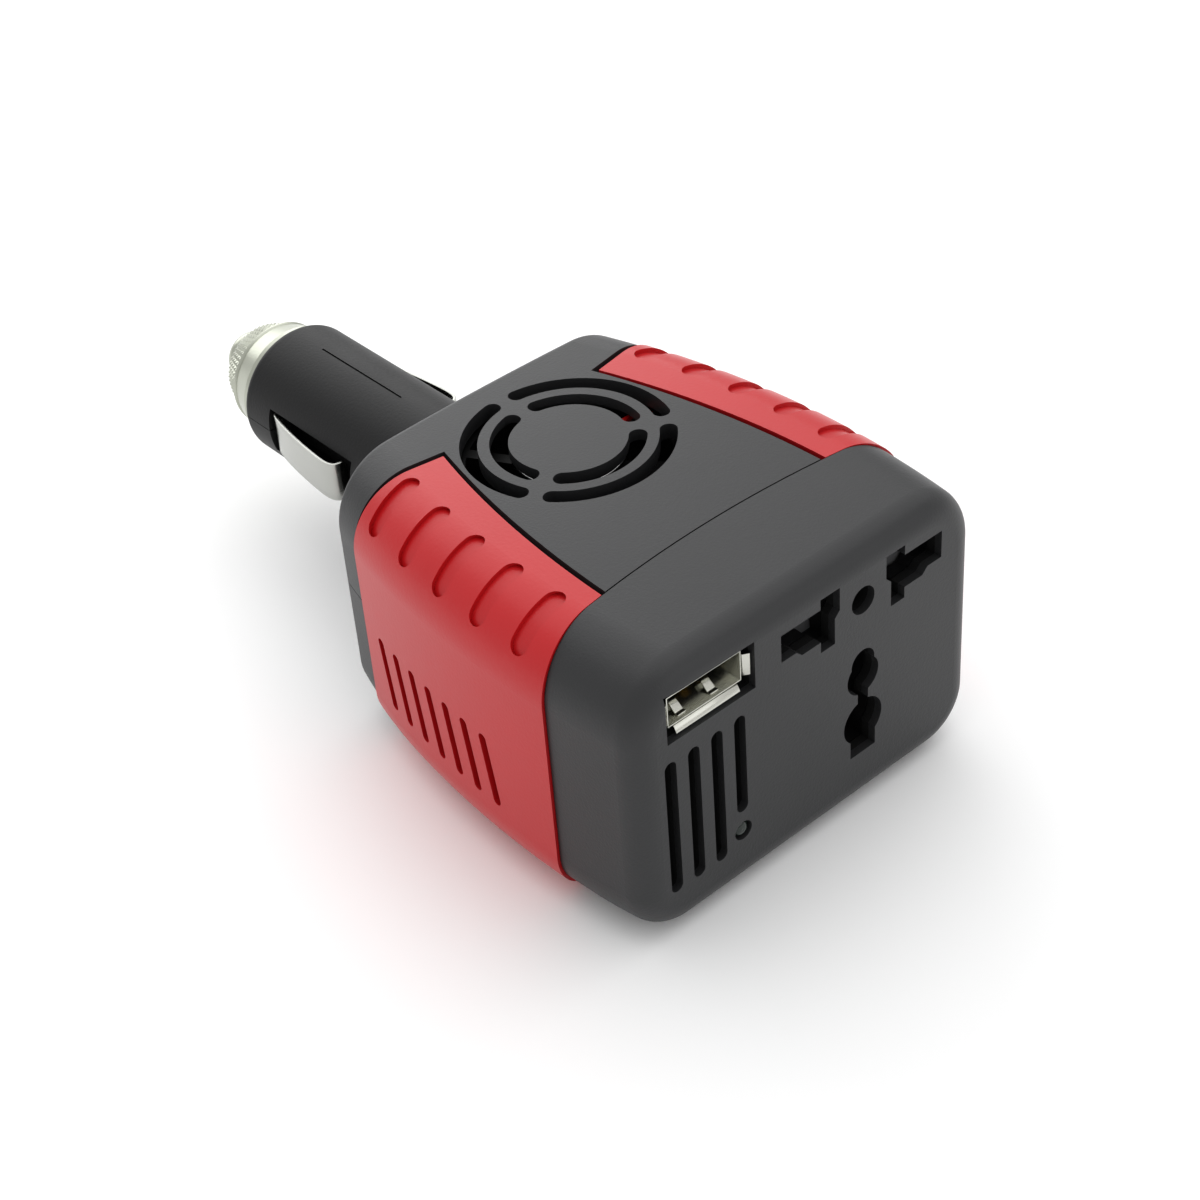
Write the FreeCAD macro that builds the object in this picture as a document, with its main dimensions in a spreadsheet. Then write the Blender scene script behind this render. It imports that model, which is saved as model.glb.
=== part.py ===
import FreeCAD, Part
import math
import os
import Sketcher
from FreeCAD import Placement, Rotation, Vector

# Car power inverter: a flattened casing with an outlet and a USB port on its front face, red side
# grips, a fan under a round grille, and a plug for a 12 V socket at the back.
#
# Axes: +Z up, +Y from the outlet face to the plug's tip, +X to the right when facing the outlet.
# Everything is drawn with Y measured from the outlet face. The origin is under the middle of the
# whole length, on the surface that the inverter stands on, so node() shifts each sub-part by front_y.

doc = FreeCAD.newDocument("PowerInverter")

# ---------------------------------------------------------------- driving dimensions, millimetres
DIMENSIONS = {
    # casing outline: half widths and heights at the front face, the widest place and the back face
    "front_y": -61.75, "body_length": 63.9, "back_side_y": 63.1,
    "front_half": 29.9, "mid_half": 31.5, "back_half": 26.0, "mid_y": 26.0,
    "front_top": 43.0, "mid_top": 43.2, "back_top": 42.1,
    "base_low": 0.45, "front_low": 1.8, "back_low": 3.7, "flat_start": 10.0, "flat_end": 46.0,
    "top_round": 9.5, "low_round": 8.0, "front_round": 3.8, "back_round": 1.1,
    "wall": 2.4, "parting_z": 24.0, "seam_gap": 0.2,
    # seam between front cover and shells, an arc in plan
    "seam_y": 17.7, "seam_edge_y": 13.6, "seam_edge_x": 36.0,
    # red side grips
    "grip_proud": 0.45, "grip_seat": 1.15, "grip_groove": 0.75,
    "grip_front_x": 19.5, "grip_back_x": 13.8, "grip_back_y": 54.1, "grip_mid_x": 17.8,
    "grip_mid_y": 36.0, "grip_side_y": 58.0,
    "scoop_y": 20.3, "scoop_pitch": 8.05, "scoop_long": 9.6, "scoop_wide": 2.9, "scoop_deep": 0.6,
    "vent_y": 26.8, "vent_pitch": 4.06, "vent_low_z": 11.3, "vent_high_z": 21.0, "vent_lean": 1.7,
    "vent_wide": 1.5,
    # fan grille
    "fan_y": 44.8, "ring_a_out": 14.5, "ring_a_in": 12.1, "ring_b_out": 10.5, "ring_b_in": 8.0,
    "spoke": 2.0,
    # front openings
    "outlet_x": 8.9, "outlet_z": 35.0, "usb_x": -17.45, "usb_z": 36.1, "usb_wide": 14.7,
    "usb_high": 7.2, "slit_x": -24.6, "slit_pitch": 3.87, "slit_wide": 1.9, "slit_top": 29.6,
    "slit_low": 7.9, "slit_short_low": 13.7, "lamp_x": -13.0, "lamp_z": 10.4, "lamp_r": 1.4,
    # plug for the 12 V socket
    "plug_z": 21.6, "barrel_r": 10.35, "barrel_end": 109.5, "flange_y": 58.9, "flange_r": 12.4,
    "fuse_bore": 3.4, "spring_slot_low": 83.0, "spring_slot_high": 102.9, "spring_slot_half": 3.7,
    "leaf_half": 3.25, "nose_end": 119.5, "nose_r": 9.5, "ridge_y": 115.0, "ridge_r": 7.9,
    "nose_end_r": 6.0, "pin_r": 4.0, "tip_y": 123.5,
    # fan
    "fan_half": 15.0, "fan_low": 32.4, "fan_high": 39.4, "fan_bore": 14.0,
    # circuit board and its posts
    "board_z": 10.0, "board_thick": 1.6, "board_half": 23.5, "board_front": 16.6, "board_back": 58.4,
    "post_front_x": 21.2, "post_back_x": 20.0, "post_front_y": 22.0, "post_back_y": 52.0, "post_r": 3.0,
    # outlet block
    "block_front": 2.6, "block_back": 15.6, "block_low": 8.2, "shutter_y": 4.7, "shutter_thick": 2.0,
    "shutter_high": 8.7, "shutter_travel": 8.4, "contact_front": 7.6,
}

sheet = doc.addObject("Spreadsheet::Sheet", "Sizes")
for row, (alias, number) in enumerate(DIMENSIONS.items(), 1):
    sheet.set("A%d" % row, alias)
    sheet.set("B%d" % row, str(number))
    sheet.setAlias("B%d" % row, alias)
doc.recompute()


def text_of(value):
    """The expression that drives a feature: a sheet expression, or a plain number."""
    return value.text if isinstance(value, Size) else "(%.8g)" % value


class Size(float):
    """A length that keeps the sheet expression it came from through arithmetic."""

    def __new__(cls, number, text):
        size = super().__new__(cls, number)
        size.text = text
        return size

    def __add__(self, other):
        return Size(float(self) + float(other), "(%s + %s)" % (self.text, text_of(other)))

    def __radd__(self, other):
        return Size(float(other) + float(self), "(%s + %s)" % (text_of(other), self.text))

    def __sub__(self, other):
        return Size(float(self) - float(other), "(%s - %s)" % (self.text, text_of(other)))

    def __rsub__(self, other):
        return Size(float(other) - float(self), "(%s - %s)" % (text_of(other), self.text))

    def __mul__(self, other):
        return Size(float(self) * float(other), "(%s * %s)" % (self.text, text_of(other)))

    def __rmul__(self, other):
        return Size(float(other) * float(self), "(%s * %s)" % (text_of(other), self.text))

    def __truediv__(self, other):
        return Size(float(self) / float(other), "(%s / %s)" % (self.text, text_of(other)))

    def __neg__(self):
        return Size(-float(self), "(-1 * %s)" % self.text)


class Sheet:
    """The sheet's cells by name: dim.wall is the wall's thickness, ready for arithmetic."""

    def __getattr__(self, alias):
        return Size(float(sheet.get(alias)), "Sizes." + alias)


dim = Sheet()

# ---------------------------------------------------------------- ways of making shapes
TURN = {"x": Rotation(Vector(0, 1, 0), 90), "y": Rotation(Vector(1, 0, 0), -90), "z": Rotation()}


def bind(obj, **sizes):
    """Drive properties of an object by expressions."""
    for name, value in sizes.items():
        obj.setExpression(name, text_of(value))
    return obj


def locate(obj, at, turn=None):
    """Place an object by expressions, turned first."""
    if turn is not None:
        obj.Placement = Placement(Vector(0, 0, 0), turn)
    for axis, value in zip("xyz", at):
        obj.setExpression("Placement.Base." + axis, text_of(value))
    return obj


def box(name, corner, size):
    obj = doc.addObject("Part::Box", name)
    bind(obj, Length=size[0], Width=size[1], Height=size[2])
    return locate(obj, corner)


def span(name, low, high):
    """A box between its lowest and highest corners."""
    return box(name, low, [b - a for a, b in zip(low, high)])


def rod(name, base, axis, length, radius):
    obj = bind(doc.addObject("Part::Cylinder", name), Radius=radius, Height=length)
    return locate(obj, base, TURN[axis])


def fuse(name, *shapes):
    obj = doc.addObject("Part::MultiFuse", name)
    obj.Shapes = list(shapes)
    return obj


def group(name, *solids):
    """Separate solids that share one node."""
    obj = doc.addObject("Part::Compound", name)
    obj.Links = list(solids)
    return obj


def cut(name, base, *tools):
    obj = doc.addObject("Part::Cut", name)
    obj.Base = base
    obj.Tool = tools[0] if len(tools) == 1 else fuse(name + "_tools", *tools)
    return obj


def common(name, base, tool):
    obj = doc.addObject("Part::Common", name)
    obj.Base = base
    obj.Tool = tool
    return obj


def rounded(name, base, radius, wanted):
    """Round the edges of a shape that wanted(edge) picks."""
    doc.recompute()
    obj = doc.addObject("Part::Fillet", name)
    obj.Base = base
    picked = [i for i, edge in enumerate(base.Shape.Edges, 1) if wanted(edge)]
    obj.Edges = [(i, float(radius), float(radius)) for i in picked]
    return obj


def origin_plane(body, role):
    return [item for item in body.Origin.OriginFeatures if item.Role == role][0]


def draw(sketch, outline):
    """Draw a closed outline whose corners are bound to the sheet.

    A corner is (x, y). Between two corners, (x, y, "via") makes the edge an arc through that point.
    (x, y, "into") is an arc near that point that runs smoothly into the next edge, and
    (x, y, "from") one that leaves the last edge smoothly.
    """
    count = len(outline)
    first = [i for i, point in enumerate(outline) if len(point) == 2]
    edges = []
    for i in first:
        following = outline[(i + 1) % count]
        middle = following if len(following) == 3 else None
        end = outline[(i + 2) % count] if middle else following
        start_at, end_at = Vector(*outline[i], 0), Vector(*end, 0)
        if middle:
            middle_at = Vector(middle[0], middle[1], 0)
            edge = sketch.addGeometry(Part.Arc(start_at, middle_at, end_at))
        else:
            edge = sketch.addGeometry(Part.LineSegment(start_at, end_at))
        forward = sketch.getPoint(edge, 1).distanceToPoint(start_at) < 1e-4
        edges.append((edge, 1 if forward else 2, 2 if forward else 1, middle, outline[i]))
    for k, (edge, head, tail, middle, corner) in enumerate(edges):
        after, after_head, _, after_middle, _ = edges[(k + 1) % len(edges)]
        smooth = "into" in (middle or ()) or "from" in (after_middle or ())
        kind = "Tangent" if smooth else "Coincident"
        sketch.addConstraint(Sketcher.Constraint(kind, edge, tail, after, after_head))
        pin_point(sketch, edge, head, corner)
        if middle and middle[2] == "via":
            point = sketch.addGeometry(Part.Point(Vector(middle[0], middle[1], 0)), True)
            sketch.addConstraint(Sketcher.Constraint("PointOnObject", point, 1, edge))
            pin_point(sketch, point, 1, middle)


def pin_point(sketch, geometry, end, place):
    """Hold a point of a sketch at distances from its origin that the sheet gives."""
    for kind, value in zip(("DistanceX", "DistanceY"), place):
        held = Sketcher.Constraint(kind, -1, 1, geometry, end, float(value))
        index = sketch.addConstraint(held)
        if isinstance(value, Size):
            sketch.setExpression("Constraints[%d]" % index, value.text)


def sketch_in(body, name, role, offset, *outlines):
    sketch = body.newObject("Sketcher::SketchObject", name)
    sketch.AttachmentSupport = [(origin_plane(body, role), "")]
    sketch.MapMode = "FlatFace"
    sketch.setExpression("AttachmentOffset.Base.z", text_of(offset))
    for outline in outlines:
        draw(sketch, outline)
    return sketch


def pad(body, sketch, length):
    feature = body.newObject("PartDesign::Pad", sketch.Name + "_pad")
    feature.Profile = sketch
    bind(feature, Length=length)
    return feature


def slab(name, low_z, high_z, *outlines):
    """An outline in plan, made solid between two heights."""
    body = doc.addObject("PartDesign::Body", name)
    pad(body, sketch_in(body, name + "_plan", "XY_Plane", low_z, *outlines), high_z - low_z)
    return body


def prism_y(name, low_y, high_y, *outlines):
    """An outline seen from the front, (x, z), made solid between two depths."""
    body = doc.addObject("PartDesign::Body", name)
    pad(body, sketch_in(body, name + "_face", "XZ_Plane", -high_y, *outlines), high_y - low_y)
    return body


def prism_x(name, low_x, high_x, *outlines):
    """An outline seen from the side, (y, z), made solid between two places across."""
    body = doc.addObject("PartDesign::Body", name)
    pad(body, sketch_in(body, name + "_side", "YZ_Plane", low_x, *outlines), high_x - low_x)
    return body


def turned_y(name, centre, outline):
    """An outline (y, radius) turned about a line along Y through centre (x, z)."""
    body = doc.addObject("PartDesign::Body", name)
    sketch = sketch_in(body, name + "_profile", "YZ_Plane", 0, outline)
    turn = body.newObject("PartDesign::Revolution", name + "_turn")
    turn.Profile = sketch
    turn.ReferenceAxis = (sketch, ["H_Axis"])
    return locate(body, (centre[0], 0, centre[1]))


def turned_z(name, at, outline):
    """An outline (radius, z) turned about a vertical line through at (x, y)."""
    body = doc.addObject("PartDesign::Body", name)
    sketch = sketch_in(body, name + "_profile", "XZ_Plane", 0, outline)
    turn = body.newObject("PartDesign::Revolution", name + "_turn")
    turn.Profile = sketch
    turn.ReferenceAxis = (sketch, ["V_Axis"])
    return locate(body, (at[0], at[1], 0))


def lead(name, points, radius):
    """An insulated wire: straight runs joined by tangent arcs, as large as the shorter run allows."""
    points = [Vector(*point) for point in points]
    edges = []
    start = points[0]
    for before, corner, after in zip(points, points[1:], points[2:]):
        inward, outward = corner - before, after - corner
        half_turn = inward.getAngle(outward) / 2
        reach = 0.45 * min(inward.Length, outward.Length)
        bend_in = corner - inward.normalize() * reach
        bend_out = corner + outward.normalize() * reach
        bisector = (bend_in + bend_out) * 0.5 - corner
        arc_radius = reach / math.tan(half_turn)
        centre = corner + bisector.normalize() * math.hypot(arc_radius, reach)
        middle = centre - (centre - corner).normalize() * arc_radius
        edges.append(Part.LineSegment(start, bend_in).toShape())
        edges.append(Part.Arc(bend_in, middle, bend_out).toShape())
        start = bend_out
    edges.append(Part.LineSegment(start, points[-1]).toShape())
    path = Part.Wire(edges)
    section = Part.Wire([Part.Circle(points[0], points[1] - points[0], radius).toShape()])
    obj = doc.addObject("Part::Feature", name)
    obj.Shape = path.makePipeShell([section], True, True)
    expected = math.pi * radius ** 2 * path.Length
    print("%s length %.1f mm, volume ratio %.4f" % (name, path.Length, obj.Shape.Volume / expected))
    return obj


nodes = []


def node(obj, name=None):
    """List a finished sub-part under its name, and shift it from the outlet face to the origin."""
    obj.Label = name or obj.Name
    drawn_y = dict(obj.ExpressionEngine).get(".Placement.Base.y", "0")
    drawn_y = dict(obj.ExpressionEngine).get("Placement.Base.y", drawn_y)
    obj.setExpression("Placement.Base.y", "Sizes.front_y + %s" % drawn_y)
    nodes.append(obj)
    return obj


# ---------------------------------------------------------------- casing
def near_face(y):
    """Edges that lie in or beside the plane at this depth."""
    return lambda edge: abs(edge.BoundBox.YMin - y) < 1.2 and abs(edge.BoundBox.YMax - y) < 1.2


def casing_form(name, grow, rise=None):
    """The casing's outer form, larger or smaller by grow, with its top raised by rise instead if
    that is given: bowed sides, a crowned top, a flat to stand on, well rounded long edges and less
    rounded front and back edges."""
    rise = grow if rise is None else rise
    body = doc.addObject("PartDesign::Body", name)
    front, side_back, back = -grow, dim.back_side_y + grow, dim.body_length + grow
    plan = [(-(dim.front_half + grow), front), (dim.front_half + grow, front),
            (dim.mid_half + grow, dim.mid_y, "via"),
            (dim.back_half + grow, side_back), (0, back, "via"), (-(dim.back_half + grow), side_back),
            (-(dim.mid_half + grow), dim.mid_y, "via")]
    pad(body, sketch_in(body, name + "_plan", "XY_Plane", -10, plan), 70)
    far_front, far_back = -4.0, dim.body_length + 4
    half_rise = (dim.front_low + dim.base_low * 3) / 4
    half_rise_back = (dim.back_low + dim.base_low * 3) / 4
    side = [(far_front, dim.front_top + rise), (dim.mid_y, dim.mid_top + rise, "via"),
            (far_back, dim.back_top + rise), (far_back, dim.back_low - grow),
            ((far_back + dim.flat_end) / 2, half_rise_back - grow, "into"),
            (dim.flat_end, dim.base_low - grow), (dim.flat_start, dim.base_low - grow),
            ((dim.flat_start + far_front) / 2, half_rise - grow, "from"),
            (far_front, dim.front_low - grow)]
    around = [(-20, -20), (90, -20), (90, 80), (-20, 80)]
    trim = sketch_in(body, name + "_trim", "YZ_Plane", 0, around, side)
    pocket = body.newObject("PartDesign::Pocket", name + "_pocket")
    pocket.Profile = trim
    pocket.Type = "ThroughAll"
    pocket.SideType = "Symmetric"
    doc.recompute()
    middle_z = (dim.mid_top + dim.base_low) / 2
    edges = ["Edge%d" % i for i, edge in enumerate(pocket.Shape.Edges, 1)
             if edge.BoundBox.YLength > 5 and abs(edge.BoundBox.Center.x) > 15
             and edge.BoundBox.Center.z > middle_z]
    upper = round_edges(body, name + "_top_round", pocket, edges, dim.top_round + rise)
    edges = ["Edge%d" % i for i, edge in enumerate(upper.Shape.Edges, 1)
             if edge.BoundBox.YLength > 2 and abs(edge.BoundBox.Center.x) > 15
             and edge.BoundBox.Center.z < middle_z - 15]
    lower = round_edges(body, name + "_low_round", upper, edges, dim.low_round + grow)
    last = lower
    for label, face_y, radius in (("_front_round", front, dim.front_round + grow),
                                  ("_back_round", back, dim.back_round + grow)):
        if radius > 0.3:
            wanted = near_face(float(face_y))
            edges = ["Edge%d" % i for i, edge in enumerate(last.Shape.Edges, 1) if wanted(edge)]
            last = round_edges(body, name + label, last, edges, radius)
    return body


def round_edges(body, name, base, edges, radius):
    feature = body.newObject("PartDesign::Fillet", name)
    feature.Base = (base, edges)
    bind(feature, Radius=radius)
    doc.recompute()
    return feature


def seam_at(x):
    """Depth of the seam between front cover and shells, at a place across."""
    return dim.seam_y - (dim.seam_y - dim.seam_edge_y) * (x / float(dim.seam_edge_x)) ** 2


outer = casing_form("outer_form", 0)
cavity = casing_form("cavity_form", -dim.wall)
grip_outer = casing_form("grip_outer_form", dim.grip_proud, Size(0, "0"))
grip_inner = casing_form("grip_inner_form", -dim.grip_seat)
grip_clear = casing_form("grip_clear_form", dim.grip_proud + 1)
grip_floor = casing_form("grip_floor_form", -dim.grip_seat - 0.05)

shell = cut("casing_shell", outer, cavity)
grip_band = cut("grip_band", grip_outer, grip_inner)
recess_band = cut("recess_band", grip_clear, grip_floor)

seam_edge = dim.seam_edge_x
front_zone = slab("front_zone", -10, 60, [(-seam_edge, -10), (seam_edge, -10),
                  (seam_edge, dim.seam_edge_y), (0, dim.seam_y, "via"),
                  (-seam_edge, dim.seam_edge_y)])


def rear_zone(name, low_z, high_z):
    gap = dim.seam_gap
    return slab(name, low_z, high_z, [(-seam_edge, dim.seam_edge_y + gap), (0, dim.seam_y + gap, "via"),
                (seam_edge, dim.seam_edge_y + gap), (seam_edge, 80), (-seam_edge, 80)])


def grip_zone(name, side, groove):
    """The plan of one grip, with room for the groove along its inner and back edges."""
    gap = dim.seam_gap * (0.6 if groove == 0 else 0.5)
    front_x, back_x = dim.grip_front_x - groove, dim.grip_back_x - groove
    edge_x = dim.seam_edge_x
    halfway = (float(dim.grip_front_x) + float(dim.seam_edge_x)) / 2
    return slab(name, -10, 60, [
        (front_x * side, seam_at(float(front_x)) + gap), (halfway * side, seam_at(halfway) + gap, "via"),
        (edge_x * side, dim.seam_edge_y + gap), (edge_x * side, dim.grip_side_y + groove),
        (back_x * side, dim.grip_back_y + groove),
        ((dim.grip_mid_x - groove) * side, dim.grip_mid_y, "via")])


def vent_slots(name, clearance):
    """Leaning slots through both sides of the casing."""
    half = dim.vent_wide / 2 + clearance
    lean = dim.vent_lean / 2
    body = doc.addObject("PartDesign::Body", name)
    outline = [(dim.vent_y - half - lean, dim.vent_low_z), (dim.vent_y - lean, dim.vent_low_z - half, "via"),
               (dim.vent_y + half - lean, dim.vent_low_z), (dim.vent_y + half + lean, dim.vent_high_z),
               (dim.vent_y + lean, dim.vent_high_z + half, "via"), (dim.vent_y - half + lean, dim.vent_high_z)]
    slot = pad(body, sketch_in(body, name + "_slot", "YZ_Plane", -40, outline), 80)
    pattern = body.newObject("PartDesign::LinearPattern", name + "_row")
    pattern.Originals = [slot]
    pattern.Direction = (origin_plane(body, "Y_Axis"), [""])
    bind(pattern, Length=dim.vent_pitch * 6)
    pattern.Occurrences = 7
    body.Tip = pattern
    return body


vents = vent_slots("side_vents", 0)
shell_vents = vent_slots("shell_vents", 0.15)


# Screw posts: the lower ones carry the circuit board, the upper ones press on it and take the screws.
POSTS = [(side * x, y, top) for side in (-1, 1)
         for x, y, top in ((dim.post_front_x, dim.post_front_y, 42.0),
                           (dim.post_back_x, dim.post_back_y, 40.7))]
board_top = dim.board_z + dim.board_thick
lower_posts = []
upper_posts = []
head_holes = []
shank_holes = []
pilot_holes = []
board_holes = []
screws = []
for k, (x, y, top) in enumerate(POSTS):
    tag = "_%d" % k
    lower_posts.append(rod("lower_post" + tag, (x, y, 2.5), "z", dim.board_z - 2.5, dim.post_r + 0.2))
    upper_posts.append(rod("upper_post" + tag, (x, y, board_top), "z", top - board_top, dim.post_r - 0.4))
    head_holes.append(rod("head_hole" + tag, (x, y, 0), "z", 5.0, 2.7))
    shank_holes.append(rod("shank_hole" + tag, (x, y, 0), "z", 12.0, 1.4))
    pilot_holes.append(rod("pilot_hole" + tag, (x, y, 5), "z", 18.5, 1.28))
    board_holes.append(rod("board_hole" + tag, (x, y, 5), "z", 12.0, 1.5))
    head = rod("screw_head" + tag, (x, y, 3.1), "z", 1.9, 2.4)
    shank = rod("screw_shank" + tag, (x, y, 4.0), "z", 19.0, 1.25)
    driver = box("driver_slot" + tag, (x - 1.8, y - 0.3, 2.9), (3.6, 0.6, 0.9))
    driver_cross = box("driver_cross" + tag, (x - 0.3, y - 1.8, 2.9), (0.6, 3.6, 0.9))
    screws.append(cut("screw" + tag, fuse("screw_blank" + tag, head, shank), driver, driver_cross))

barrel_hole = rod("barrel_hole", (0, 58, dim.plug_z), "y", 12, dim.barrel_r + 0.05)
side_recesses = []
for side, label in ((-1, "left"), (1, "right")):
    recess_plan = grip_zone(label + "_recess_plan", side, dim.grip_groove)
    side_recesses.append(common(label + "_recess", recess_band, recess_plan))

# Scoops: shallow finger hollows across each grip's rounded upper edge.
corner_round = float(dim.top_round)
scoop_angle = 30.0


def circle_through(a, b, c):
    """Centre and radius of the circle through three points."""
    centre = Part.Circle(Vector(*a, 0), Vector(*b, 0), Vector(*c, 0))
    return centre.Center, centre.Radius


side_centre, side_radius = circle_through((dim.front_half, 0), (dim.mid_half, dim.mid_y),
                                          (dim.back_half, dim.back_side_y))
top_centre, top_radius = circle_through((-4, dim.front_top), (dim.mid_y, dim.mid_top),
                                        (dim.body_length + 4, dim.back_top))
scoop_floor = casing_form("scoop_floor_form", dim.grip_proud - dim.scoop_deep, -dim.scoop_deep)
for side, label in ((-1, "left"), (1, "right")):
    scoops = []
    for k in range(5):
        y = float(dim.scoop_y + dim.scoop_pitch * k)
        half = side_centre.x + math.sqrt(side_radius ** 2 - (y - side_centre.y) ** 2) + dim.grip_proud
        top = top_centre.y + math.sqrt(top_radius ** 2 - (y - top_centre.x) ** 2)
        length, width = dim.scoop_long / 2, dim.scoop_wide / 2
        scoop = slab("%s_scoop_%d" % (label, k), corner_round - 3, corner_round + 4, [
            (-length + width, -width), (length - width, -width), (length, 0, "via"),
            (length - width, width), (-length + width, width), (-length, 0, "via")])
        turn = Rotation(Vector(0, 1, 0), side * scoop_angle)
        scoops.append(locate(scoop, (side * (half - corner_round), y, top - corner_round), turn))
    hollows = cut(label + "_hollows", fuse(label + "_scoops", *scoops), scoop_floor)
    blank = common(label + "_grip_blank", grip_band, grip_zone(label + "_grip_plan", side, 0))
    node(cut(label + "_grip", blank, hollows, vents))


# Fan grille: two rings of three curved slots with rounded ends.
def ring_slots(name, outer_r, inner_r):
    low, deep = 36, 14
    washer = cut(name + "_washer", rod(name + "_outer", (0, dim.fan_y, low), "z", deep, outer_r),
                 rod(name + "_inner", (0, dim.fan_y, low), "z", deep, inner_r))
    spokes = []
    for k in range(3):
        bar = bind(doc.addObject("Part::Box", "%s_spoke_%d" % (name, k)), Width=dim.spoke)
        bar.Length, bar.Height = 20, deep
        angle = math.radians(90 + 120 * k)
        aside = dim.spoke / 2
        place = (aside * math.sin(angle), dim.fan_y - aside * math.cos(angle), low)
        spokes.append(locate(bar, place, Rotation(Vector(0, 0, 1), 90 + 120 * k)))
    slots = cut(name + "_slots", washer, *spokes)
    upright = lambda edge: edge.BoundBox.ZLength > deep - 1 and edge.BoundBox.DiagonalLength < deep + 1
    return rounded(name, slots, (outer_r - inner_r) / 2 - 0.05,
                   lambda edge: upright(edge) and len(edge.Vertexes) == 2)


grille = fuse("grille", ring_slots("outer_ring", dim.ring_a_out, dim.ring_a_in),
              ring_slots("inner_ring", dim.ring_b_out, dim.ring_b_in))

top_half = common("top_half", shell, rear_zone("top_zone", dim.parting_z + 0.12, 60))
grille_relief = rod("grille_relief", (0, dim.fan_y, 39), "z", 2.3, 11.4)
node(cut("top_shell", fuse("top_blank", top_half, *upper_posts),
         *side_recesses, grille, grille_relief, barrel_hole, *pilot_holes))
bottom_half = common("bottom_half", shell, rear_zone("bottom_zone", -10, dim.parting_z))
node(cut("bottom_shell", fuse("bottom_blank", bottom_half, *lower_posts),
         *side_recesses, barrel_hole, shell_vents, *head_holes, *shank_holes))
node(group("casing_screws", *screws))

# ---------------------------------------------------------------- front cover and its openings
ox, oz = dim.outlet_x, dim.outlet_z


def pin_slot(name, side, low_y, high_y, more):
    """The opening for one flat or round pin, seen from the front; more widens it all round."""
    def at(x, z):
        return (ox + x * side, oz + z)
    corners = [at(14.5 + more, 2.85 + more), at(7.6, 2.85 + more), at(7.6, 4.4 + more),
               at(4.2 - more, 4.4 + more), at(4.2 - more, 0.9), at(5.1 - more, 0.0),
               at(5.1 - more, -4.0 - more), at(7.6 + more, -4.0 - more), at(7.6 + more, -2.3 - more),
               at(10.9 + more, -2.3 - more), at(11.9 + more, -1.35 - more), at(14.5 + more, -1.35 - more)]
    return prism_y(name, low_y, high_y, corners)


def earth_slot(name, low_y, high_y, more):
    """The opening for an earth pin: two rounds and a key-shaped foot."""
    deep = high_y - low_y
    rounds = [rod("%s_round_%d" % (name, k), (ox, low_y, oz + z), "y", deep, radius + more)
              for k, (z, radius) in enumerate(((-10.2, 2.1), (-12.4, 2.85), (-20.0, 3.5)))]
    neck = span(name + "_neck", (ox - 0.95 - more, low_y, oz - 17.5), (ox + 0.95 + more, high_y, oz - 14))
    foot = span(name + "_foot", (ox - 2.3 - more, low_y, oz - 25.4 - more),
                (ox + 2.3 + more, high_y, oz - 20))
    return fuse(name, *rounds, neck, foot)


openings = [pin_slot("live_slot", -1, -1, 4, 0), pin_slot("neutral_slot", 1, -1, 4, 0),
            earth_slot("earth_opening", -1, 4, 0),
            rod("centre_hole", (ox, -1, oz), "y", 5, 2.05),
            box("usb_window", (dim.usb_x - dim.usb_wide / 2, -1, dim.usb_z - dim.usb_high / 2),
                (dim.usb_wide, 5, dim.usb_high)),
            rod("lamp_hole", (dim.lamp_x, -1, dim.lamp_z), "y", 5, dim.lamp_r + 0.05)]
for k in range(4):
    x = dim.slit_x + dim.slit_pitch * k
    low = dim.slit_short_low if k == 3 else dim.slit_low
    half = dim.slit_wide / 2
    openings.append(prism_y("front_vent_%d" % k, -1, 4, [
        (x - half, dim.slit_top - half), (x, dim.slit_top, "via"), (x + half, dim.slit_top - half),
        (x + half, low + half), (x, low, "via"), (x - half, low + half)]))
node(cut("front_cover", common("cover_blank", shell, front_zone), *openings))

# ---------------------------------------------------------------- outlet block, contacts and shutter
front, back, low = dim.block_front, dim.block_back, dim.block_low
block = fuse("block_blank", span("block_wide", (ox - 15.6, front, low), (ox + 15.6, back, 38.6)),
             span("block_upper", (ox - 10.5, front, 38), (ox + 10.5, back, 39.9)))
shutter_y, plate = dim.shutter_y, dim.shutter_thick
shutter_back = shutter_y + plate
rest_low = oz - 4.2
channel = span("shutter_channel", (ox - 14.9, shutter_y - 0.2, rest_low - dim.shutter_travel - 0.4),
               (ox + 14.9, shutter_back + 0.2, rest_low + dim.shutter_high + 0.2))
SPRING_X = (ox - 13.0, ox + 13.0)
spring_low = 12.0
spring_bores = [rod("spring_bore_%d" % k, (x, shutter_y + plate / 2, spring_low), "z", 14, 1.15)
                for k, x in enumerate(SPRING_X)]
rooms = []
for side, label in ((-1, "live"), (1, "neutral")):
    far, near = sorted((ox + 14.9 * side, ox + 3.9 * side))
    rooms.append(span(label + "_room", (far, dim.contact_front - 0.3, oz - 4.6), (near, 14.2, oz + 3.5)))
    tab_x = ox + 10 * side
    rooms.append(span(label + "_tab_slot", (tab_x - 1.3, 14, oz - 1.1), (tab_x + 1.3, 16, oz - 0.3)))
rooms.append(span("earth_room", (ox - 4.2, dim.contact_front - 0.3, oz - 25.8), (ox + 4.2, 14.2, oz - 15.5)))
node(cut("outlet_block", block, channel, *spring_bores, *rooms,
         pin_slot("live_way", -1, 2, 7.5, 0.15), pin_slot("neutral_way", 1, 2, 7.5, 0.15),
         earth_slot("earth_way", 2, 7.5, 0.15), rod("centre_way", (ox, 2, oz), "y", 10, 2.05)))

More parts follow.
